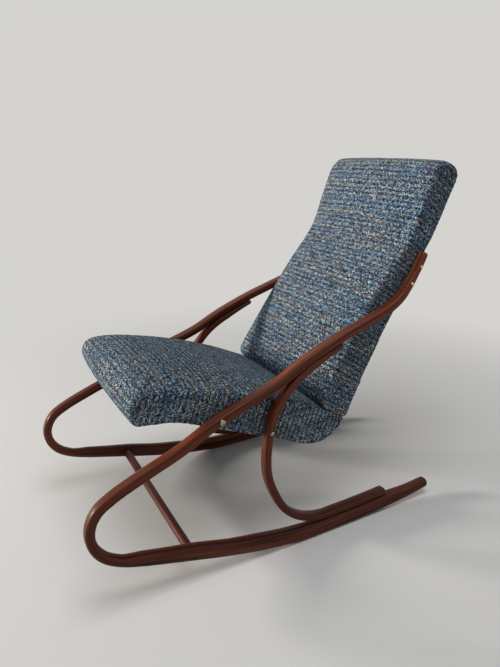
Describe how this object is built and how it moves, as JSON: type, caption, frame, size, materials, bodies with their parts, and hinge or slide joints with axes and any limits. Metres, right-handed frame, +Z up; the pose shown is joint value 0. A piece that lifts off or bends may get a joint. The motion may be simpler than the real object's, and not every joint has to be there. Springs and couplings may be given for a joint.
{
  "type": "bentwood rocking chair",
  "caption": "Rocking chair with bent wooden side frames and a tweed-covered seat and high back hung between them.",
  "frame": {"origin": "on the floor under the middle of the whole chair's box", "axes": "+X is the sitter's left, +Y is towards the chair's back, +Z is up; the sitter faces -Y"},
  "size_m": [0.557, 1.022, 0.9298],
  "materials": {
    "lacquered_wood": "reddish-brown stained beech with a glossy clear lacquer",
    "frame_wood": "unfinished sawn hardwood, hidden inside the upholstery",
    "tweed": "boucle tweed of blue, pale blue, cream, tan and black yarns",
    "foam": "pale upholstery foam",
    "webbing": "woven jute webbing",
    "lining": "black woven dust cloth",
    "nickel": "polished nickel plate",
    "brass": "polished brass",
    "steel": "zinc-plated steel"
  },
  "bodies": {
    "root": {"rail_left": "lacquered_wood", "rail_right": "lacquered_wood", "leg_left": "lacquered_wood", "leg_right": "lacquered_wood", "front_stretcher": "lacquered_wood", "arm_bolt_left": "nickel", "arm_bolt_nut_left": "steel", "leg_screw_left": "nickel", "back_screw_upper_left": "brass", "back_screw_lower_left": "brass", "arm_bolt_right": "nickel", "arm_bolt_nut_right": "steel", "leg_screw_right": "nickel", "back_screw_upper_right": "brass", "back_screw_lower_right": "brass", "seat_side_rail_left": "frame_wood", "seat_side_rail_right": "frame_wood", "seat_front_rail": "frame_wood", "seat_rear_rail": "frame_wood", "seat_strap_1": "webbing", "seat_strap_2": "webbing", "seat_strap_3": "webbing", "seat_strap_4": "webbing", "seat_strap_5": "webbing", "back_stile_left": "frame_wood", "back_stile_right": "frame_wood", "back_top_rail": "frame_wood", "back_low_rail": "frame_wood", "back_strap_1": "webbing", "back_strap_2": "webbing", "back_strap_3": "webbing", "back_strap_4": "webbing", "back_strap_5": "webbing", "seat_foam": "foam", "seat_cover": "tweed", "seat_dust_cloth": "lining", "back_foam": "foam", "back_cover": "tweed"}
  },
  "joints": []
}
